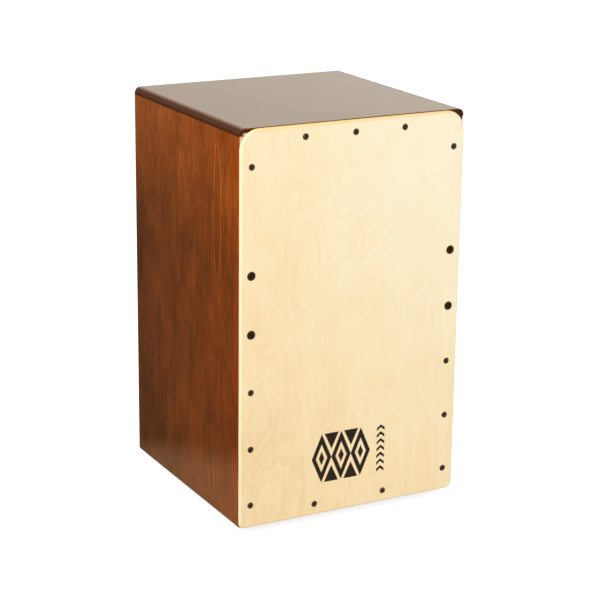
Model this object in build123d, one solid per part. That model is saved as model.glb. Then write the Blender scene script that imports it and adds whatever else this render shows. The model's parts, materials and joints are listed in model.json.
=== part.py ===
"""A cajon: a plywood box drum that the player sits on, with a thin struck front plate, a hollow
body with a sound hole at the back, rubber feet, and a snare carriage behind the plate that four
socket-head bolts draw in or let out.

Millimetres. The origin is the centre of the footprint on the floor. X is to the right as seen from
the front, -Y is the front, where the struck plate is, and +Z is up. "Left" and "right" are as seen
from the front.
"""

from build123d import *

import os

# ---- driving dimensions ------------------------------------------------------------------------
WIDTH = 302.0  # outside, side to side
DEPTH = 302.0  # face of the front plate to the back edges
BODY_HEIGHT = 490.0  # the wooden box alone
FOOT_HEIGHT = 10.0

PANEL = 9.0  # plywood of the sides, top and bottom
BACK_PLY = 6.0
FRONT_PLY = 3.0
FRONT_BATTEN = 15.0  # square section glued inside the front edges
BACK_BATTEN = 12.0  # square section glued inside the back edges

TOP_EDGE_RADIUS = 8.0  # round-over where the top meets the sides
BOTTOM_EDGE_RADIUS = 4.0
EDGE_EASE = 3.0  # back edges
SIDE_SEAM_EASE = 3.0  # upright body edges beside the front plate
TOP_SEAM_EASE = 0.4  # the seat's edge above the front plate

PLATE_TOP_GAP = 1.0  # the front plate stops this far below the seat's surface
PLATE_TOP_RADIUS = 25.0
PLATE_BOTTOM_RADIUS = 8.0
PLATE_EASE = 2.6

SOUND_HOLE_RADIUS = 57.5
SOUND_HOLE_HEIGHT = 330.0  # centre above the box's underside
SOUND_HOLE_ROUND = 1.5

# Fasteners through the front plate, measured from its edges
SIDE_INSET = 14.5  # both side columns
SIDE_PITCH = 71.7
LOWEST_SIDE_SCREW = 29.0  # above the box's underside
HIGHEST_SIDE_SCREW = 445.0
LOWER_SIDE_SCREWS = 3  # then come the two adjusting bolts, at the same pitch
TOP_ROW_INSET = 15.5
TOP_ROW_PITCH = 67.0
BOTTOM_ROW_INSET = 14.5
BOTTOM_ROW_HALF_GAP = 48.5

# Wood screws
SCREW_RADIUS = 2.0
SCREW_HEAD_RADIUS = 4.0
PLATE_SCREW_LENGTH = 16.0
FOOT_SCREW_LENGTH = 13.0
BRACKET_SCREW_LENGTH = 14.0
SMALL_SCREW_RADIUS = 1.5
SMALL_SCREW_HEAD_RADIUS = 2.5
SMALL_SCREW_LENGTH = 10.0
PAN_HEAD = 2.2
SMALL_PAN_HEAD = 1.2
PAN_HEAD_ROUND = 0.6  # of the head's height
POINT_LENGTH = 1.5  # of the shank's radius
POINT_TIP_RADIUS = 0.1
RECESS_WIDTH = 1.15  # of the head's radius
RECESS_ARM = 0.24  # of the recess's width
RECESS_DEPTH = 0.8  # of the head's depth
RECESS_TAPER = 12.0  # degrees

# Adjusting bolts, M6 countersunk with a 4 mm hexagon socket
BOLT_RADIUS = 3.0
BOLT_HEAD_RADIUS = 5.5
BOLT_LENGTH = 40.0
BOLT_SOCKET = 4.0  # across flats
BOLT_SOCKET_DEPTH = 2.0
RETAINER_RADIUS = 5.0
RETAINER_THICKNESS = 3.0
NUT_FLATS = 10.0
NUT_THICKNESS = 5.0

# Snare carriage
BOARD_HALF_WIDTH = 125.0
BOARD_THICKNESS = 18.0
BOARD_MARGIN = 12.0  # past the bolts, above and below
BRACKET_THICKNESS = 3.0
BRACKET_INNER_X = 95.0
BRACKET_OUTER_X = 141.5
BRACKET_CORNER = 3.0
BRACKET_SCREW_X = 110.0
END_PLATE_WIDTH = 44.0
END_PLATE_HEIGHT = 16.0
END_PLATE_THICKNESS = 1.0
END_PLATE_X = 55.0
END_PLATE_LEAN = 12.0  # degrees, towards the plate's upper corners
END_PLATE_BELOW_BOARD_TOP = 22.0
END_PLATE_TOP = 6.0  # above the strands' lower ends
END_PLATE_SCREW_X = 12.0
END_PLATE_SCREW_Z = -5.0
STRANDS = 10
STRAND_PITCH = 4.0
STRAND_RADIUS = 0.9
STRAND_LENGTH = 140.0
STRAND_GAP = 0.2  # to the plate's back when the snares are drawn in

# Feet
FOOT_INSET = 52.0  # centre, from each outer face
FOOT_TOP_RADIUS = 15.0
FOOT_BOTTOM_RADIUS = 13.5
FOOT_ROUND = 1.0
FOOT_BORE_RADIUS = 5.6
FOOT_BORE_DEPTH = 5.0
WASHER_RADIUS = 5.2
WASHER_THICKNESS = 1.0

# Clearances
SNUG = 0.02  # fixed pieces
RUNNING = 0.05  # a bolt that turns in its hole
CLEARANCE = 0.1  # a screw's shank through a piece that it holds
RETAINER_GAP = 0.2

# ---- places worked out from them ---------------------------------------------------------------
HALF_WIDTH = WIDTH / 2
FRONT_FACE = -DEPTH / 2
BACK_FACE = DEPTH / 2
BODY_FRONT = FRONT_FACE + FRONT_PLY
BASE = FOOT_HEIGHT
TOP = BASE + BODY_HEIGHT
INNER_X = HALF_WIDTH - PANEL
FLOOR_TOP = BASE + PANEL
CEILING = TOP - PANEL
BACK_PANEL_FRONT = BACK_FACE - BACK_PLY
BACK_BATTEN_FRONT = BACK_PANEL_FRONT - BACK_BATTEN
BATTEN_BACK = BODY_FRONT + FRONT_BATTEN

COLUMN_X = HALF_WIDTH - SIDE_INSET
PLATE_TOP = TOP - PLATE_TOP_GAP
TOP_ROW_Z = TOP - TOP_ROW_INSET
BOTTOM_ROW_Z = BASE + BOTTOM_ROW_INSET
SMALL_COLUMN_Z = [BASE + LOWEST_SIDE_SCREW + i * SIDE_PITCH for i in range(LOWER_SIDE_SCREWS)]
SMALL_COLUMN_Z.append(BASE + HIGHEST_SIDE_SCREW)
BOLT_LOWER_Z = BASE + LOWEST_SIDE_SCREW + LOWER_SIDE_SCREWS * SIDE_PITCH
BOLT_UPPER_Z = BOLT_LOWER_Z + SIDE_PITCH
PLATE_PILOT = PLATE_SCREW_LENGTH - FRONT_PLY

BOARD_BOTTOM = BOLT_LOWER_Z - BOARD_MARGIN
BOARD_TOP = BOLT_UPPER_Z + BOARD_MARGIN
STRAND_Y = BODY_FRONT + STRAND_GAP + STRAND_RADIUS
BOARD_FRONT = STRAND_Y + STRAND_RADIUS + END_PLATE_THICKNESS
BRACKET_FRONT = BOARD_FRONT + BOARD_THICKNESS
BRACKET_BACK = BRACKET_FRONT + BRACKET_THICKNESS

FOOT_X = HALF_WIDTH - FOOT_INSET
FOOT_Y = DEPTH / 2 - FOOT_INSET

SIDES = {"left": -1, "right": 1}
ENDS = {"front": -1, "back": 1}
BOLT_HEIGHTS = {"upper": BOLT_UPPER_Z, "lower": BOLT_LOWER_Z}

# Turns that carry a fastener, drawn head up with its shank along -Z, to the way that its head faces
HEAD_FRONT = Rot(X=90)
HEAD_BACK = Rot(X=-90)
HEAD_DOWN = Rot(X=180)


# ---- helpers -----------------------------------------------------------------------------------
def block(x0, x1, y0, y1, z0, z1):
    """A box between two corners."""
    centre = Pos((x0 + x1) / 2, (y0 + y1) / 2, (z0 + z1) / 2)
    return centre * Box(x1 - x0, y1 - y0, z1 - z0)


def edges_at(solid, **where):
    """The solid's straight edges whose midpoint has the stated x, y or z."""
    found = solid.edges()
    for axis, value in where.items():
        found = [e for e in found if abs(getattr(e.position_at(0.5), axis.upper()) - value) < 1e-4]
    return found


def countersunk(head_radius, shank_radius, length, grow=0.0):
    """A 90-degree countersunk fastener's outline, its face at z = 0 and its shank along -Z."""
    cone = head_radius - shank_radius
    profile = Polyline(
        (0, 0),
        (head_radius + grow, 0),
        (shank_radius + grow, -cone),
        (shank_radius + grow, -length),
        (0, -length),
        close=True,
    )
    return revolve(Plane.XZ * make_face(profile), Axis.Z)


def cross_recess(width, depth):
    """The cross-shaped recess of a screw's head, narrower towards its floor."""
    cross = Rectangle(width, RECESS_ARM * width) + Rectangle(RECESS_ARM * width, width)
    return extrude(cross, -depth, taper=RECESS_TAPER)


def wood_screw(head_radius, shank_radius, length, head_height):
    """A pointed screw with a cross recess. A head height of 0 makes it countersunk and flush."""
    point = POINT_LENGTH * shank_radius
    if head_height:
        shank = Pos(0, 0, -(length - point) / 2) * Cylinder(shank_radius, length - point)
        head = Pos(0, 0, head_height / 2) * Cylinder(head_radius, head_height)
        head = fillet(head.edges().sort_by(Axis.Z)[-1], PAN_HEAD_ROUND * head_height)
        body = shank + head
    else:
        body = countersunk(head_radius, shank_radius, length - point)
    tip = Pos(0, 0, -length + point / 2) * Cone(POINT_TIP_RADIUS, shank_radius, point)
    head_depth = head_height or head_radius - shank_radius
    recess = cross_recess(RECESS_WIDTH * head_radius, RECESS_DEPTH * head_depth)
    return body + tip - Pos(0, 0, head_height) * recess


def pilot(radius, length):
    """The hole that a screw's shank fills, its mouth at z = 0."""
    return Pos(0, 0, -length / 2) * Cylinder(radius + SNUG, length)


# ---- the plywood box ---------------------------------------------------------------------------
def side_panel(sign):
    outer, inner = sign * HALF_WIDTH, sign * INNER_X
    panel = block(min(outer, inner), max(outer, inner), BODY_FRONT, BACK_FACE, BASE, CEILING)
    panel = fillet(edges_at(panel, x=outer, z=BASE), BOTTOM_EDGE_RADIUS)
    panel = fillet(edges_at(panel, x=outer, y=BACK_FACE), EDGE_EASE)
    return fillet(edges_at(panel, x=outer, y=BODY_FRONT), SIDE_SEAM_EASE)


def top_panel():
    """The seat. It is laid over the side panels, and both its side edges are rounded over."""
    panel = block(-HALF_WIDTH, HALF_WIDTH, BODY_FRONT, BACK_FACE, CEILING, TOP)
    for x in (-HALF_WIDTH, HALF_WIDTH):
        panel = fillet(edges_at(panel, x=x, z=TOP), TOP_EDGE_RADIUS)
    panel = fillet(edges_at(panel, y=BACK_FACE, z=TOP), EDGE_EASE)
    return fillet(edges_at(panel, y=BODY_FRONT, z=TOP), TOP_SEAM_EASE)


def bottom_panel():
    panel = block(-INNER_X, INNER_X, BODY_FRONT, BACK_FACE, BASE, FLOOR_TOP)
    depth = FOOT_SCREW_LENGTH - (FOOT_HEIGHT - FOOT_BORE_DEPTH + WASHER_THICKNESS)
    for x, y in foot_places().values():
        panel -= Pos(x, y, BASE) * HEAD_DOWN * pilot(SCREW_RADIUS, depth)
    return panel


def back_panel():
    """Let in between the other panels, with the sound hole."""
    panel = block(-INNER_X, INNER_X, BACK_PANEL_FRONT, BACK_FACE, FLOOR_TOP, CEILING)
    middle = (BACK_PANEL_FRONT + BACK_FACE) / 2
    hole = HEAD_BACK * Cylinder(SOUND_HOLE_RADIUS, 2 * BACK_PLY)
    panel -= Pos(0, middle, BASE + SOUND_HOLE_HEIGHT) * hole
    rims = panel.edges().filter_by(GeomType.CIRCLE)
    return fillet(rims, SOUND_HOLE_ROUND)


def side_batten(sign, y0, y1, width):
    near, far = sign * (INNER_X - width), sign * INNER_X
    return block(min(near, far), max(near, far), y0, y1, FLOOR_TOP, CEILING)


def cross_batten(y0, y1, width, at_top):
    half = INNER_X - width
    z0, z1 = (CEILING - width, CEILING) if at_top else (FLOOR_TOP, FLOOR_TOP + width)
    return block(-half, half, y0, y1, z0, z1)


def front_side_batten(sign):
    """Holds one column of the plate's screws, and lets the two adjusting bolts turn."""
    batten = side_batten(sign, BODY_FRONT, BATTEN_BACK, FRONT_BATTEN)
    for z in SMALL_COLUMN_Z:
        batten -= Pos(sign * COLUMN_X, BODY_FRONT, z) * HEAD_FRONT * pilot(SCREW_RADIUS, PLATE_PILOT)
    middle = (BODY_FRONT + BATTEN_BACK) / 2
    for z in BOLT_HEIGHTS.values():
        hole = HEAD_FRONT * Cylinder(BOLT_RADIUS + RUNNING, 2 * FRONT_BATTEN)
        batten -= Pos(sign * COLUMN_X, middle, z) * hole
    return batten


def front_cross_batten(at_top):
    batten = cross_batten(BODY_FRONT, BATTEN_BACK, FRONT_BATTEN, at_top)
    for x, z in top_row() if at_top else bottom_row():
        batten -= Pos(x, BODY_FRONT, z) * HEAD_FRONT * pilot(SCREW_RADIUS, PLATE_PILOT)
    return batten


def back_side_batten(sign):
    return side_batten(sign, BACK_BATTEN_FRONT, BACK_PANEL_FRONT, BACK_BATTEN)


def back_cross_batten(at_top):
    return cross_batten(BACK_BATTEN_FRONT, BACK_PANEL_FRONT, BACK_BATTEN, at_top)


# ---- the front plate and its screws ------------------------------------------------------------
def top_row():
    return [(i * TOP_ROW_PITCH, TOP_ROW_Z) for i in (-1, 0, 1)]


def bottom_row():
    return [(sign * BOTTOM_ROW_HALF_GAP, BOTTOM_ROW_Z) for sign in SIDES.values()]


def plate_screw_places():
    """Centres of the small screws' heads on the plate's face, as x and z."""
    columns = [(sign * COLUMN_X, z) for sign in SIDES.values() for z in SMALL_COLUMN_Z]
    return columns + top_row() + bottom_row()


def bolt_places():
    """Centres of the adjusting bolts' heads, by name."""
    return {
        f"{level}_{side}": (sign * COLUMN_X, z)
        for level, z in BOLT_HEIGHTS.items()
        for side, sign in SIDES.items()
    }


def front_plate():
    """The thin struck plate, with a large radius on its upper corners and a small one below."""
    plate = block(-HALF_WIDTH, HALF_WIDTH, FRONT_FACE, BODY_FRONT, BASE, PLATE_TOP)
    for x in (-HALF_WIDTH, HALF_WIDTH):
        plate = fillet(edges_at(plate, x=x, z=PLATE_TOP), PLATE_TOP_RADIUS)
        plate = fillet(edges_at(plate, x=x, z=BASE), PLATE_BOTTOM_RADIUS)
    plate = fillet(edges_at(plate, y=FRONT_FACE), PLATE_EASE)
    small = countersunk(SCREW_HEAD_RADIUS, SCREW_RADIUS + CLEARANCE, 2 * FRONT_PLY, SNUG)
    for x, z in plate_screw_places():
        plate -= Pos(x, FRONT_FACE, z) * HEAD_FRONT * small
    large = countersunk(BOLT_HEAD_RADIUS, BOLT_RADIUS, 2 * FRONT_PLY, RUNNING)
    for x, z in bolt_places().values():
        plate -= Pos(x, FRONT_FACE, z) * HEAD_FRONT * large
    return plate


def front_plate_screws():
    screw = wood_screw(SCREW_HEAD_RADIUS, SCREW_RADIUS, PLATE_SCREW_LENGTH, 0.0)
    return Compound([Pos(x, FRONT_FACE, z) * HEAD_FRONT * screw for x, z in plate_screw_places()])


# ---- the adjusting bolts -----------------------------------------------------------------------
def snare_bolt(x, z):
    """Turns in the plate and the batten. Its head and its retainer stop it from moving along."""
    bolt = countersunk(BOLT_HEAD_RADIUS, BOLT_RADIUS, BOLT_LENGTH)
    socket = extrude(RegularPolygon(BOLT_SOCKET / 2, 6, major_radius=False), -BOLT_SOCKET_DEPTH)
    return Pos(x, FRONT_FACE, z) * HEAD_FRONT * (bolt - socket)


def bolt_retainer(x, z):
    """A collar pressed onto the bolt."""
    ring = Cylinder(RETAINER_RADIUS, RETAINER_THICKNESS)
    ring -= Cylinder(BOLT_RADIUS + SNUG, 2 * RETAINER_THICKNESS)
    return Pos(x, BATTEN_BACK + RETAINER_GAP + RETAINER_THICKNESS / 2, z) * HEAD_FRONT * ring


# ---- the snare carriage ------------------------------------------------------------------------
def bracket_screw_heights():
    return [BOLT_LOWER_Z, (BOLT_LOWER_Z + BOLT_UPPER_Z) / 2, BOLT_UPPER_Z]


def end_plate_place(sign):
    """Carries an end plate's own frame, with the strands along +Z, to the board's front."""
    place = Pos(sign * END_PLATE_X, BOARD_FRONT, BOARD_TOP - END_PLATE_BELOW_BOARD_TOP)
    return place * Rot(Y=sign * END_PLATE_LEAN)


def end_plate_screw_places(sign):
    x, z = END_PLATE_SCREW_X, END_PLATE_SCREW_Z
    return [end_plate_place(sign) * Pos(side * x, 0, z) for side in SIDES.values()]


def snare_board():
    """The plywood cross board that holds both sets of strands."""
    half = BOARD_HALF_WIDTH
    board = block(-half, half, BOARD_FRONT, BRACKET_FRONT, BOARD_BOTTOM, BOARD_TOP)
    for sign in SIDES.values():
        for z in bracket_screw_heights():
            hole = pilot(SCREW_RADIUS, BRACKET_SCREW_LENGTH - BRACKET_THICKNESS)
            board -= Pos(sign * BRACKET_SCREW_X, BRACKET_FRONT, z) * HEAD_BACK * hole
        for place in end_plate_screw_places(sign):
            hole = pilot(SMALL_SCREW_RADIUS, SMALL_SCREW_LENGTH - END_PLATE_THICKNESS)
            board -= place * HEAD_FRONT * hole
    return board


def snare_bracket(sign):
    """A steel plate on the board's back. It reaches behind the batten, where the bolts pass it."""
    near, far = sign * BRACKET_INNER_X, sign * BRACKET_OUTER_X
    plate = block(min(near, far), max(near, far), BRACKET_FRONT, BRACKET_BACK, BOARD_BOTTOM, BOARD_TOP)
    plate = fillet(plate.edges().filter_by(Axis.Y), BRACKET_CORNER)
    middle = (BRACKET_FRONT + BRACKET_BACK) / 2
    for z in BOLT_HEIGHTS.values():
        hole = HEAD_FRONT * Cylinder(BOLT_RADIUS + RUNNING, 2 * BRACKET_THICKNESS)
        plate -= Pos(sign * COLUMN_X, middle, z) * hole
    for z in bracket_screw_heights():
        hole = HEAD_FRONT * Cylinder(SCREW_RADIUS + CLEARANCE, 2 * BRACKET_THICKNESS)
        plate -= Pos(sign * BRACKET_SCREW_X, middle, z) * hole
    return plate


def bracket_nuts():
    """Hexagon nuts welded to the brackets, one on each bolt."""
    hexagon = RegularPolygon(NUT_FLATS / 2, 6, major_radius=False, rotation=30)
    nut = extrude(hexagon, -NUT_THICKNESS) - Cylinder(BOLT_RADIUS + RUNNING, 4 * NUT_THICKNESS)
    return Compound([Pos(x, BRACKET_BACK, z) * HEAD_FRONT * nut for x, z in bolt_places().values()])


def bracket_screws():
    screw = wood_screw(SCREW_HEAD_RADIUS, SCREW_RADIUS, BRACKET_SCREW_LENGTH, PAN_HEAD)
    places = [(sign * BRACKET_SCREW_X, z) for sign in SIDES.values() for z in bracket_screw_heights()]
    return Compound([Pos(x, BRACKET_BACK, z) * HEAD_BACK * screw for x, z in places])


def snare_end_plate(sign):
    """A thin metal strip that the strands are soldered to, above its two screws."""
    width, thickness = END_PLATE_WIDTH, END_PLATE_THICKNESS
    middle_z = END_PLATE_TOP - END_PLATE_HEIGHT / 2
    plate = Pos(0, -thickness / 2, middle_z) * Box(width, thickness, END_PLATE_HEIGHT)
    plate = fillet(plate.edges().filter_by(Axis.Y), 2 * thickness)
    for s in SIDES.values():
        hole = Rot(X=90) * Cylinder(SMALL_SCREW_RADIUS + CLEARANCE, 4 * thickness)
        plate -= Pos(s * END_PLATE_SCREW_X, 0, END_PLATE_SCREW_Z) * hole
    return end_plate_place(sign) * plate


def end_plate_screws():
    screw = wood_screw(SMALL_SCREW_HEAD_RADIUS, SMALL_SCREW_RADIUS, SMALL_SCREW_LENGTH, SMALL_PAN_HEAD)
    screw = Pos(0, 0, END_PLATE_THICKNESS) * screw
    places = [place for sign in SIDES.values() for place in end_plate_screw_places(sign)]
    return Compound([place * HEAD_FRONT * screw for place in places])


def snare_wires(sign):
    """One set of strands. Each coiled strand is drawn as the round rod that its coils fill."""
    strand = Cylinder(STRAND_RADIUS, STRAND_LENGTH)
    y, z = -END_PLATE_THICKNESS - STRAND_RADIUS, STRAND_LENGTH / 2
    offsets = [(i - (STRANDS - 1) / 2) * STRAND_PITCH for i in range(STRANDS)]
    return Compound([end_plate_place(sign) * Pos(x, y, z) * strand for x in offsets])


# ---- the feet ----------------------------------------------------------------------------------
def foot_places():
    return {
        f"{end}_{side}": (x_sign * FOOT_X, y_sign * FOOT_Y)
        for end, y_sign in ENDS.items()
        for side, x_sign in SIDES.items()
    }


def rubber_foot(x, y):
    """A tapered rubber foot with a bore from below that hides its screw and washer."""
    foot = Pos(0, 0, FOOT_HEIGHT / 2) * Cone(FOOT_BOTTOM_RADIUS, FOOT_TOP_RADIUS, FOOT_HEIGHT)
    foot = fillet(foot.edges().sort_by(Axis.Z)[0], FOOT_ROUND)
    foot -= Pos(0, 0, FOOT_BORE_DEPTH / 2) * Cylinder(FOOT_BORE_RADIUS, FOOT_BORE_DEPTH)
    foot -= Cylinder(SCREW_RADIUS + CLEARANCE, 3 * FOOT_HEIGHT)
    return Pos(x, y, 0) * foot


def foot_washers():
    washer = Cylinder(WASHER_RADIUS, WASHER_THICKNESS)
    washer -= Cylinder(SCREW_RADIUS + CLEARANCE, 2 * WASHER_THICKNESS)
    z = FOOT_BORE_DEPTH - WASHER_THICKNESS / 2
    return Compound([Pos(x, y, z) * washer for x, y in foot_places().values()])


def foot_screws():
    screw = wood_screw(SCREW_HEAD_RADIUS, SCREW_RADIUS, FOOT_SCREW_LENGTH, PAN_HEAD)
    z = FOOT_BORE_DEPTH - WASHER_THICKNESS
    return Compound([Pos(x, y, z) * HEAD_DOWN * screw for x, y in foot_places().values()])


# ---- every node of the assembly ----------------------------------------------------------------
def assembly():
    nodes = {
        "top_panel": top_panel(),
        "bottom_panel": bottom_panel(),
        "back_panel": back_panel(),
        "front_plate": front_plate(),
        "front_batten_top": front_cross_batten(True),
        "front_batten_bottom": front_cross_batten(False),
        "back_batten_top": back_cross_batten(True),
        "back_batten_bottom": back_cross_batten(False),
        "front_plate_screws": front_plate_screws(),
        "snare_board": snare_board(),
        "bracket_nuts": bracket_nuts(),
        "bracket_screws": bracket_screws(),
        "end_plate_screws": end_plate_screws(),
        "foot_washers": foot_washers(),
        "foot_screws": foot_screws(),
    }
    for side, sign in SIDES.items():
        nodes[f"{side}_side_panel"] = side_panel(sign)
        nodes[f"front_batten_{side}"] = front_side_batten(sign)
        nodes[f"back_batten_{side}"] = back_side_batten(sign)
        nodes[f"snare_bracket_{side}"] = snare_bracket(sign)
        nodes[f"snare_end_plate_{side}"] = snare_end_plate(sign)
        nodes[f"snare_wires_{side}"] = snare_wires(sign)
    for name, (x, z) in bolt_places().items():
        nodes[f"snare_bolt_{name}"] = snare_bolt(x, z)
        nodes[f"bolt_retainer_{name}"] = bolt_retainer(x, z)
    for name, (x, y) in foot_places().items():
        nodes[f"rubber_foot_{name}"] = rubber_foot(x, y)
    return nodes


os.makedirs("parts", exist_ok=True)
for name, shape in assembly().items():
    export_step(shape, f"parts/{name}.step")
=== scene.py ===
"""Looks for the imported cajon: its woods, metals and rubber, the coiled snare strands, the printed
ornament, and a plain studio round it.

Metres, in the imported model's own frame: the origin is the centre of the footprint on the floor, -Y
is the front, where the struck plate is, X is to the right as seen from the front, and +Z is up.
Inside the shaders, lengths are in millimetres, so that a scale reads as figures per millimetre.
"""

import json
import math

import bmesh
import bpy
from mathutils import Matrix, Vector


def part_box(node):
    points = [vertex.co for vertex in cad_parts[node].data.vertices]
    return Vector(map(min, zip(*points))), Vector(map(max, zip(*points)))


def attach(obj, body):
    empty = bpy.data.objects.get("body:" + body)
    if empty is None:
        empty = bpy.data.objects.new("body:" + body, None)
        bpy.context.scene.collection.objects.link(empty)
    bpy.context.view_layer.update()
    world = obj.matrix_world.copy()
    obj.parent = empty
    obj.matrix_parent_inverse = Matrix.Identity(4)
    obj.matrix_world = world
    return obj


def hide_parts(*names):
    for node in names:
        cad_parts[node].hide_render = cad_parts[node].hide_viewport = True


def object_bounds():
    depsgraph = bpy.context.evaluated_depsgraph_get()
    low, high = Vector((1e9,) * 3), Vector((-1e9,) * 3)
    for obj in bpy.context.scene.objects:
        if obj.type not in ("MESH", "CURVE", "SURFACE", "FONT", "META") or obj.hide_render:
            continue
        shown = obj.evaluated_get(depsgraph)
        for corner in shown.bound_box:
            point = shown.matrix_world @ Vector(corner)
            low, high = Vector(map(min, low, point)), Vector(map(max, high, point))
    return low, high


MM = 0.001
M_TO_MM = 1000.0

# ---- camera, about the object's frame ----------------------------------------------------------
CAMERA_PLACE = Vector((-1.0818, -2.0109, 0.9217))
CAMERA_YAW = math.radians(28.50)  # from +Y towards +X
CAMERA_DIP = math.radians(16.65)  # below the horizon
CAMERA_ROLL = math.radians(0.71)
CAMERA_LENS = 112.24

# ---- studio ------------------------------------------------------------------------------------
FLOOR_REACH = 12.0
FLOOR_ALBEDO = 0.60
FLOOR_GLOW = 0.80  # seen by the camera only, so it lights nothing
TABLE_EDGE_Y = 0.50  # where the table's far edge crosses the YZ plane
TABLE_EDGE_SLOPE = 1.3  # of that edge, in Y per X
TABLE_FADE = 170.0  # how far before that edge the sheen begins to fade, millimetres
TABLE_SHEEN = 0.56  # seen by reflections only
TABLE_TINT = (1.0, 0.62, 0.34, 1.0)
DOME = 0.55
DIM_BELOW = 0.03  # the dome's strength below the horizon
WALL = 0.52  # over the dome
WALL_DRIFT = 2.2  # how fast the wall brightens to the right, as a share of itself
WALL_LEFT = 0.2  # its least share, far to the left
DAYLIGHT = (1.0, 0.985, 0.93, 1.0)
BACKDROP = (1.0, 1.0, 1.0, 1.0)
WALL_PAINT = (0.98, 1.0, 0.78, 1.0)
KEY_POWER = 93.0
KEY_PLACE = (-3.1, -2.1, 2.3)
KEY_TARGET = (0.0, 0.0, 0.35)
KEY_SIZE = 3.4
SIDE_POWER = 7.0
SIDE_PLACE = (-0.9, -0.3, 1.2)
SIDE_TARGET = (-0.15, 0.0, 0.4)
SIDE_SIZE = 0.5
FILL_POWER = 20.0
FILL_PLACE = (1.7, -2.2, 0.7)
FILL_TARGET = (0.1, 0.0, 0.2)
FILL_SIZE = 1.2

# ---- plywood -----------------------------------------------------------------------------------
PLY = 1.3  # thickness of one ply, millimetres
GLUE_LINE = 0.09  # half of a glue line's thickness, millimetres
RAW_SKIN = 0.06  # depth of bare wood on a panel's inner face, millimetres

# ---- the ornament printed on the front plate ---------------------------------------------------
INK_THICKNESS = 0.05 * MM
ORNAMENT_LEFT = -53.0 * MM
ORNAMENT_RIGHT = 29.0 * MM
ORNAMENT_BOTTOM = 41.0 * MM  # above the plate's lower edge
ORNAMENT_TOP = 104.0 * MM
LOZENGES = 3
LOZENGE_HOLE = 0.58  # of the lozenge
LOZENGE_HEART_WIDTH = 0.14  # half of it, as a share of a lozenge's width
LOZENGE_HEART_HEIGHT = 0.28  # half of it, as a share of half the band
WEDGE_WIDTH = 0.36  # half of it, as a share of a lozenge's width
WEDGE_HEIGHT = 0.66  # as a share of half the band
CHEVRONS = 7
CHEVRONS_LEFT = 38.5 * MM
CHEVRONS_RIGHT = 49.5 * MM
CHEVRON_ARM = 0.42  # its thickness, as a share of the pitch
CHEVRON_RISE = 0.5  # from its feet to its tip, as a share of the pitch

# ---- snare coils -------------------------------------------------------------------------------
COIL_PITCH = 1.1 * MM
COIL_WIRE = 0.2 * MM
COIL_STEPS = 10
WIRE_SIDES = 4


def linear(red, green, blue):
    """An sRGB colour from 0 to 255 as the linear colour that shaders take."""

    def channel(value):
        value /= 255
        return value / 12.92 if value <= 0.04045 else ((value + 0.055) / 1.055) ** 2.4

    return (channel(red), channel(green), channel(blue), 1.0)


# Wood colours, from the palest tone at 0 to the deepest at 1
STAIN = [
    (0.0, linear(204, 124, 58)),
    (0.3, linear(162, 84, 27)),
    (0.5, linear(130, 62, 14)),
    (0.72, linear(97, 47, 11)),
    (1.0, linear(50, 26, 10)),
]
# Colours of a painted highlight, pale and pinkish, laid over the stained cut edges
EDGE_HIGHLIGHT_TONES = [
    (0.0, linear(232, 196, 172)),
    (0.5, linear(214, 168, 138)),
    (1.0, linear(150, 96, 66)),
]
BARE = [
    (0.0, linear(246, 226, 186)),
    (0.45, linear(236, 208, 160)),
    (0.75, linear(220, 184, 130)),
    (1.0, linear(186, 140, 86)),
]
PALE = [
    (0.0, linear(250, 241, 220)),
    (0.35, linear(248, 234, 201)),
    (0.65, linear(245, 221, 176)),
    (1.0, linear(228, 186, 126)),
]
PALE_EDGE = [
    (0.0, linear(253, 238, 204)),
    (0.35, linear(248, 216, 156)),
    (1.0, linear(206, 156, 96)),
]
SOFTWOOD = [
    (0.0, linear(240, 214, 164)),
    (0.5, linear(224, 186, 128)),
    (1.0, linear(184, 132, 76)),
]


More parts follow.
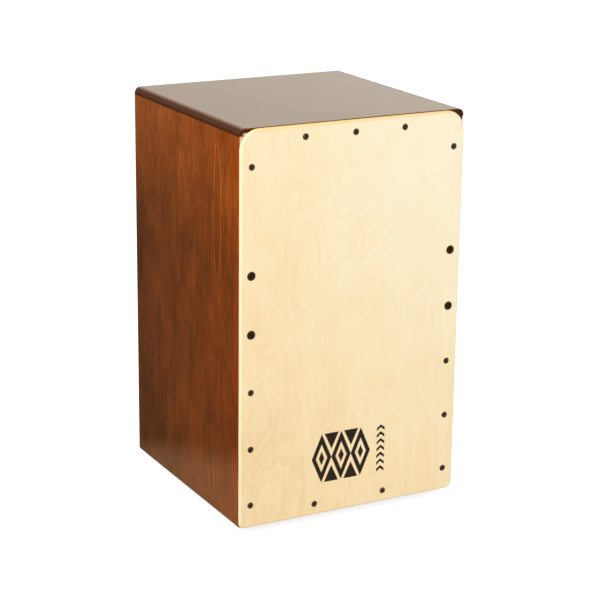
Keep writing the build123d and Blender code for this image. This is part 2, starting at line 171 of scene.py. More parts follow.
# ---- shader building ---------------------------------------------------------------------------
class Shader:
    """A tree of shader nodes, built by calls that take and return sockets or plain values."""

    def __init__(self, owner):
        self.owner = owner
        owner.use_nodes = True
        self.tree = owner.node_tree
        self.tree.nodes.clear()

    def put(self, value, socket):
        if isinstance(value, bpy.types.NodeSocket):
            self.tree.links.new(value, socket)
        else:
            socket.default_value = value

    def node(self, kind, inputs=None, **settings):
        made = self.tree.nodes.new(kind)
        for name, value in settings.items():
            setattr(made, name, value)
        for name, value in (inputs or {}).items():
            self.put(value, made.inputs[name])
        return made

    def math(self, operation, a, b=0.0):
        return self.node("ShaderNodeMath", {0: a, 1: b}, operation=operation).outputs[0]

    def add(self, a, b):
        return self.math("ADD", a, b)

    def take(self, a, b):
        return self.math("SUBTRACT", a, b)

    def times(self, a, b):
        return self.math("MULTIPLY", a, b)

    def step(self, value, low, high, at_low=0.0, at_high=1.0):
        """Smooth from one value at low to another at high, and level outside. High may be the
        lower of the two."""
        made = self.node(
            "ShaderNodeMapRange",
            {"Value": value, "From Min": low, "From Max": high, "To Min": at_low, "To Max": at_high},
            interpolation_type="SMOOTHSTEP",
        )
        return made.outputs["Result"]

    def combine(self, x, y, z):
        return self.node("ShaderNodeCombineXYZ", {"X": x, "Y": y, "Z": z}).outputs[0]

    def noise(self, x, y, z, detail=2.0, rough=0.5, warp=0.0):
        """Noise over three already scaled coordinates. Its values lie about 0.5."""
        inputs = {"Vector": self.combine(x, y, z), "Scale": 1.0, "Detail": detail}
        inputs.update({"Roughness": rough, "Distortion": warp})
        return self.node("ShaderNodeTexNoise", inputs).outputs[0]

    def stretched(self, u, v, per_u, per_v, seed, detail=2.0, rough=0.5, warp=0.0):
        return self.noise(self.times(u, per_u), self.times(v, per_v), seed, detail, rough, warp)

    def ramp(self, value, stops):
        """Colours by value. Stops are (position, linear colour)."""
        made = self.node("ShaderNodeValToRGB", {"Fac": value})
        elements = made.color_ramp.elements
        while len(elements) < len(stops):
            elements.new(0.5)
        for element, (position, colour) in zip(elements, stops):
            element.position = position
            element.color = colour
        return made.outputs["Color"]

    def mix(self, share, a, b, blend="MIX"):
        made = self.node("ShaderNodeMix", data_type="RGBA", blend_type=blend)
        self.put(share, made.inputs[0])
        self.put(a, made.inputs[6])
        self.put(b, made.inputs[7])
        return made.outputs[2]

    def place(self):
        """The point in the object's frame at rest, in millimetres, as three sockets."""
        coordinates = self.node("ShaderNodeTexCoord").outputs["Object"]
        parts = self.node("ShaderNodeSeparateXYZ", {0: coordinates})
        return [self.times(parts.outputs[i], M_TO_MM) for i in range(3)]

    def bump(self, height, distance, strength=1.0):
        inputs = {"Height": height, "Distance": distance, "Strength": strength}
        return self.node("ShaderNodeBump", inputs).outputs[0]

    def finish(self, **inputs):
        """Ends a material with a Principled surface."""
        names = {name.replace("_", " "): value for name, value in inputs.items()}
        surface = self.node("ShaderNodeBsdfPrincipled", names)
        out = self.node("ShaderNodeOutputMaterial")
        self.tree.links.new(surface.outputs[0], out.inputs["Surface"])
        return self.owner


def new_material(name):
    return Shader(bpy.data.materials.new(name))


# ---- wood --------------------------------------------------------------------------------------
def veneer(s, u, v, seed, wide=11.0, long=110.0, rings=22.0, waver=1.0):
    """Rotary-cut birch, with u across the grain and v along it. Wide and long are the size of its
    figure in millimetres, and rings is how many growth lines each swell of the figure carries."""
    swell = s.stretched(u, v, 1 / (9 * wide), 1 / (3 * long), seed, 1.0, 0.45, 0.2)
    wobble = s.stretched(u, v, 1 / wide, 1 / long, seed + 3.1, 3.0, 0.55)
    saw = s.math("FRACT", s.add(s.times(swell, rings), s.times(wobble, waver)))
    strength = s.step(s.stretched(u, v, 0.03, 0.008, seed + 25.0, 2.0), 0.40, 0.62)
    lines = s.times(s.step(saw, 0.86, 0.96), s.step(saw, 1.0, 0.98))
    return {
        "bands": s.times(s.step(saw, 0.05, 0.9), s.step(saw, 1.0, 0.93)),
        "lines": s.times(lines, strength),
        "streaks": s.stretched(u, v, 0.16, 0.004, seed + 5.7, 2.0, 0.6),
        "threads": s.stretched(u, v, 0.45, 0.04, seed + 17.2, 2.0, 0.6),
        "fibres": s.stretched(u, v, 1.1, 0.03, seed + 7.9, 3.0, 0.6),
        "pores": s.step(s.stretched(u, v, 2.6, 0.12, seed + 9.3, 2.0, 0.5), 0.64, 0.74),
        "blotches": s.stretched(u, v, 0.024, 0.014, seed + 13.9, 3.0, 0.55, 0.4),
        "clouds": s.stretched(u, v, 0.008, 0.005, seed + 21.0, 2.0, 0.5, 0.5),
    }


def arch(s, u, v, centre, apex, length, width):
    """1 on two fine growth lines that part below an arch's apex and meet again at its foot."""
    down = s.times(s.take(apex, v), 1 / length)
    lens = s.math("MAXIMUM", s.times(down, s.take(1.0, down)), 0.0)
    half = s.times(s.math("SQRT", lens), width)
    wander = s.take(s.noise(s.times(v, 0.02), centre, 0.0, 3.0), 0.5)
    aside = s.math("ABSOLUTE", s.take(s.take(u, centre), s.times(wander, 0.5 * width)))
    line = s.step(s.math("ABSOLUTE", s.take(aside, half)), 1.7, 0.6)
    return s.times(line, s.times(s.step(down, 0.0, 0.02), s.step(down, 1.0, 0.8)))


def blend(s, figure, weights, base):
    """base plus the named parts of a figure, each about its own middle and times its weight."""
    middles = {"bands": 0.4, "lines": 0.15, "pores": 0.05}
    total = base
    for name, weight in weights.items():
        total = s.add(total, s.times(s.take(figure[name], middles.get(name, 0.5)), weight))
    return total


def cut_edge(s, run, depth, seed):
    """The tone of plywood's cut edge, from 0 on pale long grain, through end grain on every second
    ply, to 1 in a glue line. Run is the distance along the edge."""
    layer = s.times(depth, 1 / PLY)
    end_grain = s.step(s.math("PINGPONG", s.add(layer, 0.5), 1.0), 0.44, 0.56)
    inside = s.math("FRACT", layer)
    nearest = s.math("MINIMUM", inside, s.take(1.0, inside))
    glue = s.step(nearest, 2.2 * GLUE_LINE / PLY, 0.6 * GLUE_LINE / PLY)
    grain = s.take(s.stretched(run, depth, 0.9, 2.0, seed, 3.0, 0.6), 0.5)
    return s.add(s.times(end_grain, 0.45), s.add(s.times(grain, 0.5), s.times(glue, 0.45)))


def stained_plywood(name, across, along, depth, thickness, seed, **details):
    """Birch plywood with a brown stain under satin lacquer outside, and bare on its inner face.
    Across, along and depth are functions of the shader and of x, y and z. So are these details:
    front_edge, the distance behind the panel's front edge, along which the colour is warmer close
    to that edge and turns bluish grey towards the back, a painted reflection of the lacquer;
    deeper, how much deeper the tone is, which on the sides and at the bottom rim carries painted
    light and shade; and missed, which is 1 where a pale pinkish highlight is painted. Contrast is
    the strength of the figure, and arches lists centre, apex, length and width, in millimetres, of
    the figure's arches."""
    s = new_material(name)
    place = s.place()
    u, v, d = across(s, *place), along(s, *place), depth(s, *place)
    figure = veneer(s, u, v, seed, wide=13.0, long=230.0, rings=14.0, waver=1.4)
    weights = {"clouds": 0.45, "blotches": 0.34, "streaks": 0.18, "threads": 0.42}
    weights.update({"fibres": 0.60, "lines": -0.06, "bands": -0.03, "pores": 0.10})
    contrast = details.get("contrast", 1.0)
    weights = {part: weight * contrast for part, weight in weights.items()}
    tone = blend(s, figure, weights, 0.58)
    if "deeper" in details:
        tone = s.add(tone, details["deeper"](s, *place))
    for numbers in details.get("arches", ()):
        tone = s.take(tone, s.times(arch(s, u, v, *numbers), 0.22))
    face = s.ramp(tone, STAIN)
    if "front_edge" in details:
        behind = details["front_edge"](s, *place)
        warm = s.times(s.step(behind, 15.0, 9.0), 0.8)
        face = s.mix(warm, face, (1.25, 0.98, 0.5, 1.0), "MULTIPLY")
        face = s.mix(s.step(behind, 100.0, 10.0), face, (1.02, 0.93, 0.55, 1.0), "MULTIPLY")
        # Painted reflection: a bluish-grey lacquer veil that grows towards the back
        face = s.mix(s.step(behind, 60.0, 300.0), face, (0.96, 1.08, 1.7, 1.0), "MULTIPLY")
    run = s.add(s.add(place[0], place[1]), place[2])
    edge = cut_edge(s, run, d, seed + 31.0)
    is_cut = s.step(d, 0.85 * PLY, 1.15 * PLY)
    outside = s.mix(is_cut, face, s.ramp(s.add(edge, 0.80), STAIN))
    # Painted highlight: pale pinkish colour wherever this mask is 1
    if "painted_highlight" in details:
        painted_highlight = details["painted_highlight"](s, *place)
        outside = s.mix(painted_highlight, outside, s.ramp(s.add(edge, 0.1), EDGE_HIGHLIGHT_TONES))
    raw_weights = {"fibres": 0.5, "blotches": 0.5, "pores": 0.3, "bands": 0.15, "lines": 0.15}
    bare = s.ramp(blend(s, figure, raw_weights, 0.35), BARE)
    is_inside = details["inside"](s, *place)
    is_bare = s.times(is_inside, s.step(d, thickness - 2 * RAW_SKIN, thickness - RAW_SKIN))
    relief = blend(s, figure, {"fibres": 0.6, "pores": -0.8, "streaks": 0.3}, 0.5)
    return s.finish(
        Base_Color=s.mix(is_bare, outside, bare),
        Roughness=s.add(0.45, s.times(figure["fibres"], 0.12)),
        Specular_IOR_Level=0.06,
        Coat_Weight=s.times(s.take(1.0, is_bare), s.take(0.9, s.times(is_cut, 0.7))),
        Coat_Roughness=s.add(0.12, s.times(figure["blotches"], 0.08)),
        Coat_IOR=1.5,
        Normal=s.bump(relief, 0.00005, 0.4),
    )


def front_plate_wood(plate_low, plate_high):
    """Pale birch under satin lacquer: faint growth lines and flecks, a little warmer and deeper
    towards the floor, the warmth the wood's own and the deepening partly a painted shade where less
    light falls, with three plies at its edges."""
    s = new_material("natural_birch")
    x, y, z = s.place()
    figure = veneer(s, x, z, 4.3, wide=9.0, long=60.0, rings=11.0, waver=1.3)
    height = s.step(z, plate_low.z * M_TO_MM, plate_high.z * M_TO_MM)
    weights = {"bands": 0.06, "lines": 0.03, "streaks": 0.14, "threads": 0.08}
    weights.update({"fibres": 0.16, "pores": 0.12, "blotches": 0.26})
    leftward = s.step(x, plate_high.x * M_TO_MM, plate_low.x * M_TO_MM, -0.5, 0.5)
    # Painted shade with the wood's own warming: the tone deepens towards the floor
    tone = s.add(blend(s, figure, weights, 0.66), s.times(height, -0.29))
    tone = s.add(tone, s.times(leftward, s.add(0.14, s.times(height, 0.16))))
    flecks = s.step(s.stretched(x, z, 0.10, 0.06, 61.0, 3.0, 0.6), 0.70, 0.78)
    face = s.mix(s.times(flecks, 0.5), s.ramp(tone, PALE), linear(232, 178, 112))
    top_strip = s.step(z, plate_high.z * M_TO_MM - 4.5, plate_high.z * M_TO_MM - 1.0)
    face = s.mix(s.times(top_strip, 0.8), face, linear(238, 200, 128))
    depth = s.take(y, plate_low.y * M_TO_MM)
    middle = s.times(s.step(depth, 0.85, 1.0), s.step(depth, 2.15, 2.0))
    grain = s.take(s.stretched(s.add(x, z), depth, 0.8, 1.5, 8.0, 3.0, 0.6), 0.5)
    edge = s.ramp(s.add(s.times(middle, 0.35), s.times(grain, 0.4)), PALE_EDGE)
    return s.finish(
        Base_Color=s.mix(s.times(s.step(depth, 0.15, 0.5), s.take(1.0, top_strip)), face, edge),
        Roughness=s.add(0.40, s.times(figure["fibres"], 0.12)),
        Specular_IOR_Level=0.3,
        Coat_Weight=0.6,
        Coat_Roughness=s.add(0.14, s.times(figure["blotches"], 0.08)),
        Coat_IOR=1.5,
        Normal=s.bump(blend(s, figure, {"fibres": 0.5, "pores": -0.7}, 0.5), 0.00005, 0.4),
    )


def bare_plywood(depth):
    """The snare board: unfinished birch plywood, grain along X."""
    s = new_material("plain_plywood")
    x, y, z = s.place()
    figure = veneer(s, z, x, 6.6, wide=12.0, long=60.0)
    weights = {"bands": 0.15, "lines": 0.2, "fibres": 0.5, "streaks": 0.4, "pores": 0.4}
    weights["blotches"] = 0.5
    face_tone = blend(s, figure, weights, 0.4)
    edge_tone = s.add(cut_edge(s, s.add(x, z), depth(s, x, y, z), 11.0), 0.3)
    normal = s.node("ShaderNodeNewGeometry").outputs["True Normal"]
    facing = s.math("ABSOLUTE", s.node("ShaderNodeSeparateXYZ", {0: normal}).outputs["Y"])
    tone = s.add(s.times(face_tone, facing), s.times(edge_tone, s.take(1.0, facing)))
    return s.finish(
        Base_Color=s.ramp(tone, BARE),
        Roughness=0.62,
        Specular_IOR_Level=0.3,
        Normal=s.bump(blend(s, figure, {"fibres": 0.8, "pores": -0.8}, 0.5), 0.0001, 0.6),
    )


def softwood(name, along, first, second, seed):
    """Planed softwood for one way that battens run: rings as stripes along it and arcs on its
    ends. Along, first and second are the numbers of the axes along and across it."""
    s = new_material(name)
    place = s.place()
    v, a, b = (place[i] for i in (along, first, second))
    wander = s.noise(s.times(v, 0.006), seed, 0.0, 2.0)
    off_pith_a = s.math("POWER", s.add(a, s.times(wander, 9.0)), 2.0)
    off_pith_b = s.math("POWER", s.add(b, 31.0), 2.0)
    saw = s.math("FRACT", s.times(s.math("SQRT", s.add(off_pith_a, off_pith_b)), 0.38))
    rings = s.times(s.step(saw, 0.2, 0.9), s.step(saw, 1.0, 0.92))
    fibres = s.noise(s.times(v, 0.03), s.times(a, 1.6), s.times(b, 1.6), 3.0)
    tone = s.add(s.times(rings, 0.5), s.times(fibres, 0.6))
    relief = s.add(s.times(rings, 0.4), s.times(fibres, 0.8))
    return s.finish(
        Base_Color=s.ramp(tone, SOFTWOOD),
        Roughness=0.6,
        Specular_IOR_Level=0.3,
        Normal=s.bump(relief, 0.00012, 0.6),
    )


# ---- metal, rubber and ink ---------------------------------------------------------------------
def metal(name, dark, light, rough):
    """A metal with cloudy tone, and roughness and relief from fine random scratches."""
    s = new_material(name)
    x, y, z = s.place()
    cloud = s.noise(s.times(s.add(x, y), 0.25), s.times(z, 0.25), 2.0, 3.0, 0.6)
    across = s.times(s.add(x, s.times(y, 0.3)), 10.0)
    marks = s.noise(across, s.times(s.add(z, s.times(y, 0.4)), 0.9), 5.0, 4.0, 0.65)
    return s.finish(
        Base_Color=s.ramp(cloud, [(0.3, dark), (0.7, light)]),
        Metallic=1.0,
        Roughness=s.add(rough, s.times(s.take(marks, 0.5), 0.12)),
        Normal=s.bump(marks, 0.00002, 0.4),
    )


def black_steel(name, flats, metallic, patch):
    """Black oxide on screws and bolts: oily, and abraded to olive grey in patches, whose size is in
    millimetres. The flats of its heads that face the front are lightened as a painted highlight, as
    much as flats says."""
    s = new_material(name)
    x, y, z = s.place()
    cloud = s.noise(s.times(s.add(x, y), 0.5), s.times(z, 0.5), 3.0, 3.0, 0.6)
    patches = s.noise(s.times(s.add(x, y), 1 / patch), s.times(z, 1 / patch), 6.0, 2.0, 0.6)
    normal = s.node("ShaderNodeNewGeometry").outputs["True Normal"]
    forward = s.node("ShaderNodeSeparateXYZ", {0: normal}).outputs["Y"]
    # Painted highlight: lighter colour on head flats that face the front
    painted_flat_highlight = s.times(s.step(forward, -0.75, -0.97), flats)
    wear = s.add(s.add(s.times(cloud, 0.3), s.times(s.take(patches, 0.15), 0.95)), painted_flat_highlight)
    stops = [(0.3, linear(24, 22, 16)), (0.55, linear(60, 54, 40)), (0.9, linear(176, 160, 122))]
    return s.finish(
        Base_Color=s.ramp(wear, stops),
        Metallic=metallic,
        Roughness=s.add(0.28, s.times(patches, 0.2)),
        Normal=s.bump(patches, 0.00003, 0.5),
    )


def rubber():
    s = new_material("rubber")
    x, y, z = s.place()
    pebble = s.noise(s.times(s.add(x, z), 2.2), s.times(s.take(y, z), 2.2), 1.0, 4.0, 0.7)
    dust = s.noise(s.times(x, 0.15), s.times(y, 0.15), 7.0, 3.0, 0.6)
    tone = s.add(s.times(pebble, 0.5), s.times(dust, 0.5))
    return s.finish(
        Base_Color=s.ramp(tone, [(0.3, linear(20, 20, 20)), (0.7, linear(44, 43, 42))]),
        Roughness=s.add(0.62, s.times(dust, 0.2)),
        Specular_IOR_Level=0.4,
        Normal=s.bump(pebble, 0.0001, 0.7),
    )


def ink():
    """Screen-printed black, with the plate's grain just showing in its sheen."""
    s = new_material("ink")
    x, _, z = s.place()
    fibres = s.stretched(x, z, 0.9, 0.012, 10.0, 4.0, 0.62)
    mottle = s.stretched(x, z, 0.35, 0.35, 12.0, 3.0, 0.6)
    return s.finish(
        Base_Color=s.ramp(mottle, [(0.3, linear(17, 15, 14)), (0.7, linear(30, 27, 25))]),
        Roughness=s.add(0.38, s.times(fibres, 0.15)),
        Specular_IOR_Level=0.4,
        Normal=s.bump(fibres, 0.00004, 0.4),
    )


# ---- materials on the CAD nodes ----------------------------------------------------------------
def dress(node, material):
    node.data.materials.clear()
    node.data.materials.append(material)


def dress_panels(nodes):
    low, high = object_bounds()
    half_width, top, back = (value * M_TO_MM for value in (high.x, high.z, high.y))
    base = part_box("bottom_panel")[0].z * M_TO_MM
    body_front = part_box("top_panel")[0].y * M_TO_MM
    top_low, top_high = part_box("top_panel")
    panel = (top_high.z - top_low.z) * M_TO_MM
    back_low, back_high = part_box("back_panel")
    back_ply = (back_high.y - back_low.y) * M_TO_MM

    def from_side(s, x, y, z):
        return s.take(half_width, s.math("ABSOLUTE", x))

    def from_front(s, x, y, z):
        return s.take(y, body_front)

    def at_front_face(s, x, y, z):
        return s.step(from_front(s, x, y, z), 1.3, 0.5)

    def axis_x(s, x, y, z):
        return x

    def axis_y(s, x, y, z):
        return y

    def axis_z(s, x, y, z):
        return z

    def below_top(s, x, y, z):
        return s.take(top, z)

    def above_base(s, x, y, z):
        return s.take(z, base)

    def from_back(s, x, y, z):
        return s.take(back, y)

    def inside(s, x, y, z):
        """0 on the outside of the body, where even the cut edges are stained, and 1 within."""
        nearest = s.math("MINIMUM", from_front(s, x, y, z), from_back(s, x, y, z))
        return s.step(s.math("MINIMUM", nearest, from_side(s, x, y, z)), 0.4, 0.9)

    def joint(s, x, y, z):
        """The dark line where the seat meets the sides, and the glue line just above it."""
        above = s.take(z, top - panel)
        seam = s.step(s.math("ABSOLUTE", above), 0.7, 0.2)
        glue = s.step(s.math("ABSOLUTE", s.take(above, 1.8)), 0.6, 0.2)
        return s.add(s.times(seam, 0.35), s.times(glue, 0.06))

    def bottom_rim_shade(s, x, y, z):
        """Deepest round the bottom rim: painted shade along the lower edge."""
        return s.step(above_base(s, x, y, z), 5.0, 1.0, 0.0, 0.6)

    def side_tone(s, x, y, z):
        """Paler near the seat as painted light, and near the plate; deeper towards the back and low
        down as painted shade, and at the joint.
        """
        # Painted light: paler within about 190 mm of the top, deeper further down
        painted_top_light = s.step(below_top(s, x, y, z), 190.0, 10.0, 0.08, -0.10)
        behind = from_front(s, x, y, z)
        paler = s.step(behind, 10.0, 70.0, -0.02, -0.04)
        # Painted shade: deeper low down towards the back
        low_down = s.step(below_top(s, x, y, z), 10.0, 260.0, 0.02, 0.13)
        deeper = s.times(s.step(behind, 90.0, 230.0), low_down)
        rims = s.add(joint(s, x, y, z), bottom_rim_shade(s, x, y, z))
        return s.add(s.add(painted_top_light, rims), s.add(paler, deeper))

    def seat_tone(s, x, y, z):
        """Deeper on the seat than on the sides, and most of all down its rounded edges."""
        down_edge = s.step(below_top(s, x, y, z), -0.5, 4.0)
        return s.add(0.10, s.add(s.times(down_edge, 0.22), joint(s, x, y, z)))

    def seat_painted_highlight(s, x, y, z):
        """A painted highlight, pale and pinkish, at the left of the seat's front edge, below its
        stained upper ply.
        """
        low_down = s.times(s.step(below_top(s, x, y, z), 4.5, 6.0), s.step(x, -60.0, -90.0))
        return s.times(low_down, s.times(at_front_face(s, x, y, z), s.step(x, -148.0, -144.0)))

    shared = {"inside": inside}
    # The left panel's front face gets the painted pinkish highlight
    left = {"painted_highlight": at_front_face, "arches": [(-90, 475, 175, 20), (-74, 67, 36, 15)]}
    right = {"arches": [(52, 430, 210, 24), (-38, 250, 120, 14)]}
    for side, seed, details in (("left", 1.7, left), ("right", 52.4, right)):
        details.update(shared, front_edge=from_front, deeper=side_tone)
        name = f"stained_birch_{side}"
        wood = stained_plywood(name, axis_y, axis_z, from_side, panel, seed, **details)
        dress(nodes[f"{side}_side_panel"], wood)
    seat = {"contrast": 0.4, "deeper": seat_tone, "painted_highlight": seat_painted_highlight, **shared}
    bottom = {"deeper": bottom_rim_shade, **shared}
    for name, depth, seed, details in (
        ("top", below_top, 23.0, seat),
        ("bottom", above_base, 77.0, bottom),
    ):
        material = f"stained_birch_{name}"
        wood = stained_plywood(material, axis_y, axis_x, depth, panel, seed, **details)
        dress(nodes[f"{name}_panel"], wood)
    back_details = {"arches": [(-60, 440, 230, 26), (74, 250, 170, 18)], **shared}
    wood = stained_plywood(
        "stained_birch_back", axis_x, axis_z, from_back, back_ply, 95.0, **back_details
    )
    dress(nodes["back_panel"], wood)


def dress_nodes(frame):
    nodes = frame["nodes"]
    dress_panels(nodes)
    dress(nodes["front_plate"], front_plate_wood(*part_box("front_plate")))
    board_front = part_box("snare_board")[0].y * M_TO_MM

    def behind_board_front(s, x, y, z):
        return s.take(y, board_front)

    dress(nodes["snare_board"], bare_plywood(behind_board_front))
    upright = softwood("softwood_upright", 2, 0, 1, 3.0)
    level = softwood("softwood_level", 0, 1, 2, 8.0)
    for name, node in nodes.items():
        if "_batten_" in name:
            dress(node, upright if name.endswith(("left", "right")) else level)
    shared = {
        "black_steel": black_steel("black_steel", 0.04, 0.85, 0.35),
        "zinc_steel": metal("zinc_steel", linear(168, 170, 174), linear(206, 207, 208), 0.32),
        "brass": metal("brass", linear(196, 158, 88), linear(222, 188, 118), 0.30),
        "rubber": rubber(),
    }
    for entry in frame["record"]["subparts"]:
        if entry["material_slot"] in shared:
            dress(nodes[entry["node"]], shared[entry["material_slot"]])
    dress(nodes["front_plate_screws"], black_steel("black_steel_screws", 0.10, 0.6, 1.6))


# ---- new pieces --------------------------------------------------------------------------------
def new_object(name, mesh, material, smooth):
    bmesh.ops.recalc_face_normals(mesh, faces=mesh.faces)
    data = bpy.data.meshes.new(name)
    mesh.to_mesh(data)
    mesh.free()
    data.polygons.foreach_set("use_smooth", [smooth] * len(data.polygons))
    data.materials.append(material)
    made = bpy.data.objects.new(name, data)
    bpy.context.scene.collection.objects.link(made)
    return made


def rods(node):
    """The axis of each separate rod in a CAD node, as (lower end, upper end, radius)."""
    mesh = bmesh.new()
    mesh.from_mesh(node.data)
    bmesh.ops.remove_doubles(mesh, verts=mesh.verts, dist=1e-6)
    left = set(mesh.verts)
    found = []
    while left:
        points, edge = [], [left.pop()]
        while edge:
            vert = edge.pop()
            points.append(vert.co.copy())
            near = {e.other_vert(vert) for e in vert.link_edges} & left
            left -= near
            edge.extend(near)
        points.sort(key=tuple)  # a set has no fixed order, and sums depend on it in the last digit
        middle_z = sum(p.z for p in points) / len(points)
        upper = [p for p in points if p.z > middle_z]
        lower = [p for p in points if p.z <= middle_z]
        top = sum(upper, Vector()) / len(upper)
        bottom = sum(lower, Vector()) / len(lower)
        found.append((bottom, top, max((p - top).length for p in upper)))
    mesh.free()
    return sorted(found, key=lambda rod: rod[0].x)


def coil(mesh, start, end, radius):
    """A wire wound round the line from start to end, filling a rod of the given radius."""
    axis = (end - start).normalized()
    side = axis.cross(Vector((0, 1, 0))).normalized()
    front = side.cross(axis)
    turn_radius = radius - COIL_WIRE
    length = (end - start).length - 2 * COIL_WIRE
    steps = int(length / COIL_PITCH * COIL_STEPS)
    climb = math.atan2(COIL_PITCH, 2 * math.pi * turn_radius)
    last = None
    for i in range(steps + 1):
        angle = 2 * math.pi * i / COIL_STEPS
        out = math.cos(angle) * side + math.sin(angle) * front
        along = math.cos(angle) * front - math.sin(angle) * side
        normal = math.cos(climb) * axis - math.sin(climb) * along
        centre = start + axis * (COIL_WIRE + length * i / steps) + out * turn_radius
        ring = []
        for k in range(WIRE_SIDES):
            around = 2 * math.pi * (k + 0.5) / WIRE_SIDES
            offset = math.cos(around) * out + math.sin(around) * normal
            ring.append(mesh.verts.new(centre + COIL_WIRE * offset))
        if last is None:
            mesh.faces.new(ring[::-1])
        else:
            for k in range(WIRE_SIDES):
                after = (k + 1) % WIRE_SIDES
                mesh.faces.new((last[k], last[after], ring[after], ring[k]))
        last = ring
    mesh.faces.new(last)


def snare_coils(frame):
    steel = metal("snare_steel", linear(188, 189, 192), linear(226, 226, 228), 0.18)
    for side in ("left", "right"):
        mesh = bmesh.new()
        for start, end, radius in rods(frame["nodes"][f"snare_wires_{side}"]):
            coil(mesh, start, end, radius)
        coils = new_object(f"snare_coils_{side}", mesh, steel, smooth=True)
        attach(coils, "snare_carriage")
        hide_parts(f"snare_wires_{side}")


def inked(mesh, outline, face_y):
    """A flat patch of ink on the plate's face, from its outline as x and z."""
    back = [mesh.verts.new((x, face_y, z)) for x, z in outline]
    front = [mesh.verts.new((x, face_y - INK_THICKNESS, z)) for x, z in outline]
    mesh.faces.new(back)
    mesh.faces.new(front[::-1])
    for i in range(len(outline)):
        mesh.faces.new((back[i - 1], front[i - 1], front[i], back[i]))


def lozenge(x, z, half_width, half_height):
    return [(x - half_width, z), (x, z + half_height), (x + half_width, z), (x, z - half_height)]


def framed_lozenge(mesh, x, z, half_width, half_height, share, face_y):
    """A lozenge drawn as a band, its inner outline the stated share of the outer one."""
    outer = lozenge(x, z, half_width, half_height)
    inner = lozenge(x, z, half_width * share, half_height * share)
    for i in range(4):
        j = (i + 1) % 4
        inked(mesh, [outer[i], outer[j], inner[j], inner[i]], face_y)


def printed_ornament():
    """A band of lozenges with wedges between them, and a column of small chevrons beside it."""
    low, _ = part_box("front_plate")
    face_y = low.y
    bottom, top = low.z + ORNAMENT_BOTTOM, low.z + ORNAMENT_TOP
    middle, half_height = (bottom + top) / 2, (top - bottom) / 2
    mesh = bmesh.new()
    cell = (ORNAMENT_RIGHT - ORNAMENT_LEFT) / LOZENGES
    heart = cell * LOZENGE_HEART_WIDTH, half_height * LOZENGE_HEART_HEIGHT
    for i in range(LOZENGES):
        x = ORNAMENT_LEFT + (i + 0.5) * cell
        framed_lozenge(mesh, x, middle, cell / 2, half_height, LOZENGE_HOLE, face_y)
        inked(mesh, lozenge(x, middle, *heart), face_y)
    wedge_half, wedge_height = cell * WEDGE_WIDTH, half_height * WEDGE_HEIGHT
    for i in range(1, LOZENGES):
        x = ORNAMENT_LEFT + i * cell
        for edge, sign in ((bottom, 1), (top, -1)):
            wedge = [(x - wedge_half, edge), (x + wedge_half, edge), (x, edge + sign * wedge_height)]
            inked(mesh, wedge, face_y)
    pitch = (top - bottom) / CHEVRONS
    arm, rise = pitch * CHEVRON_ARM, pitch * CHEVRON_RISE
    x0, x1 = CHEVRONS_LEFT, CHEVRONS_RIGHT
    xm = (x0 + x1) / 2
    for i in range(CHEVRONS):
        z = bottom + i * pitch
        inked(mesh, [(x0, z), (xm, z + rise), (xm, z + rise + arm), (x0, z + arm)], face_y)
        inked(mesh, [(xm, z + rise), (x1, z), (x1, z + arm), (xm, z + rise + arm)], face_y)
    ornament = new_object("printed_ornament", mesh, ink(), smooth=False)
    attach(ornament, "cabinet")


# ---- studio ------------------------------------------------------------------------------------
def sheet(name, corners, material):
    """A flat sheet on the floor, between level corners."""
    mesh = bmesh.new()
    mesh.faces.new([mesh.verts.new((x, y, 0)) for x, y in corners])
    made = new_object(name, mesh, material, smooth=False)
    return made


def floor():
    """A pale floor that glows for the camera, like a photographer's lit table. Reflections see the
    table's own sheen instead, which ends a little behind the object."""
    s = new_material("pale_floor")
    x, y, _ = s.place()
    mottle = s.noise(s.times(x, 0.004), s.times(y, 0.004), 1.0, 3.0)
    pale, paler = ((FLOOR_ALBEDO * share,) * 3 + (1.0,) for share in (1.0, 1.03))
    seen = s.node("ShaderNodeLightPath").outputs["Is Camera Ray"]
    material = s.finish(
        Base_Color=s.ramp(mottle, [(0.3, pale), (0.7, paler)]),
        Roughness=0.9,
        Specular_IOR_Level=0.0,
        Emission_Color=(1.0, 1.0, 1.0, 1.0),
        Emission_Strength=s.times(seen, FLOOR_GLOW),
    )
    far = FLOOR_REACH
    corners = ((-far, -far), (far, -far), (far, far), (-far, far))
    sheet("floor", corners, material).visible_glossy = False

    s = new_material("table_sheen")
    x, y, _ = s.place()
    drift = s.noise(s.times(x, 0.002), s.times(y, 0.002), 4.0, 1.0)
    edge = s.add(TABLE_EDGE_Y * M_TO_MM, s.times(x, TABLE_EDGE_SLOPE))
    fade = s.step(s.take(edge, y), 0.0, TABLE_FADE)
    material = s.finish(
        Base_Color=(0.0, 0.0, 0.0, 1.0),
        Specular_IOR_Level=0.0,
        Emission_Color=TABLE_TINT,
        Emission_Strength=s.times(s.add(0.8, s.times(drift, 0.4)), s.times(fade, TABLE_SHEEN)),
    )
    rise = far * TABLE_EDGE_SLOPE
    corners = ((-far, TABLE_EDGE_Y - rise), (far, -far), (far, TABLE_EDGE_Y + rise))
    table = sheet("table", corners, material)
    for kind in ("camera", "diffuse", "shadow", "transmission", "volume_scatter"):
        setattr(table, f"visible_{kind}", False)


def softbox(name, place, target, size, power, mirrored=True):
    data = bpy.data.lights.new(name, "AREA")
    data.shape = "SQUARE"
    data.size = size
    data.energy = power
    light = bpy.data.objects.new(name, data)
    light.visible_glossy = mirrored
    light.location = place
    light.rotation_euler = (Vector(target) - Vector(place)).to_track_quat("-Z", "Y").to_euler()
    bpy.context.scene.collection.objects.link(light)


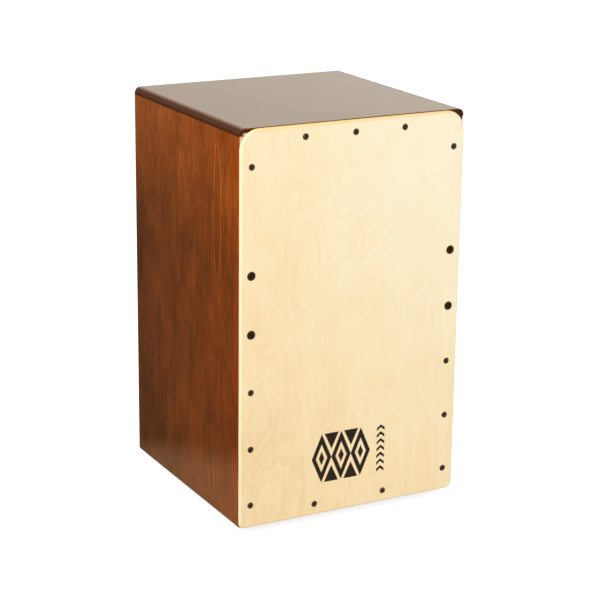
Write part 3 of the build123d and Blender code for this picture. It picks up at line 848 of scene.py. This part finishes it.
def studio_world():
    """An even dome with a bright wall low down behind the object, which the lacquered seat
    reflects, and little light below the horizon, where only reflections look."""
    world = bpy.data.worlds.new("studio")
    bpy.context.scene.world = world
    s = Shader(world)
    coordinates = s.node("ShaderNodeTexCoord").outputs["Generated"]
    x, y, z = s.node("ShaderNodeSeparateXYZ", {0: coordinates}).outputs
    dome = s.step(z, -0.06, 0.06, DIM_BELOW, DOME)
    behind = s.step(y, 0.1, 0.6)
    low_down = s.times(s.step(z, -0.02, 0.08), s.step(z, 0.62, 0.42))
    rightward = s.add(s.times(x, math.cos(CAMERA_YAW)), s.times(y, -math.sin(CAMERA_YAW)))
    drift = s.math("MAXIMUM", s.add(1.0, s.times(rightward, WALL_DRIFT)), WALL_LEFT)
    wall = s.times(s.times(s.times(behind, low_down), drift), WALL)
    shares = ((DAYLIGHT, dome), (WALL_PAINT, wall))
    lit = [s.node("ShaderNodeBackground", {"Color": c, "Strength": v}).outputs[0] for c, v in shares]
    both = s.node("ShaderNodeAddShader", {0: lit[0], 1: lit[1]}).outputs[0]
    seen = s.node("ShaderNodeLightPath").outputs["Is Camera Ray"]
    backdrop = s.node("ShaderNodeBackground", {"Color": BACKDROP}).outputs[0]
    surface = s.node("ShaderNodeMixShader", {0: seen, 1: both, 2: backdrop}).outputs[0]
    s.node("ShaderNodeOutputWorld", {"Surface": surface})


def camera():
    forward = Vector(
        (
            math.sin(CAMERA_YAW) * math.cos(CAMERA_DIP),
            math.cos(CAMERA_YAW) * math.cos(CAMERA_DIP),
            -math.sin(CAMERA_DIP),
        )
    )
    level = Vector((math.cos(CAMERA_YAW), -math.sin(CAMERA_YAW), 0.0))
    upward = level.cross(forward)
    right = math.cos(CAMERA_ROLL) * level + math.sin(CAMERA_ROLL) * upward
    up = -math.sin(CAMERA_ROLL) * level + math.cos(CAMERA_ROLL) * upward
    data = bpy.data.cameras.new("camera")
    data.lens = CAMERA_LENS
    data.clip_end = 100.0
    made = bpy.data.objects.new("camera", data)
    turn = Matrix((right, up, -forward)).transposed().to_4x4()
    made.matrix_world = Matrix.Translation(CAMERA_PLACE) @ turn
    bpy.context.scene.collection.objects.link(made)
    bpy.context.scene.camera = made


def studio():
    floor()
    studio_world()
    softbox("key", KEY_PLACE, KEY_TARGET, KEY_SIZE, KEY_POWER)
    softbox("side", SIDE_PLACE, SIDE_TARGET, SIDE_SIZE, SIDE_POWER, mirrored=False)
    softbox("fill", FILL_PLACE, FILL_TARGET, FILL_SIZE, FILL_POWER, mirrored=False)
    camera()
    view = bpy.context.scene.view_settings
    view.view_transform = "Standard"
    view.look = "None"


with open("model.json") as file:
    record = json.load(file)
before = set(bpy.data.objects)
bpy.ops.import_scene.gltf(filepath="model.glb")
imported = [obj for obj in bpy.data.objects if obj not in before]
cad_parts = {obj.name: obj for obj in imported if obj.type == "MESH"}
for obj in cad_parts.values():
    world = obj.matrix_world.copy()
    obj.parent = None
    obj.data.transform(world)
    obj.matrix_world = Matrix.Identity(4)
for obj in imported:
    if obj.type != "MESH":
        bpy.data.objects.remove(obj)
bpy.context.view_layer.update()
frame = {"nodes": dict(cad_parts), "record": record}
dress_nodes(frame)
snare_coils(frame)
printed_ornament()
studio()
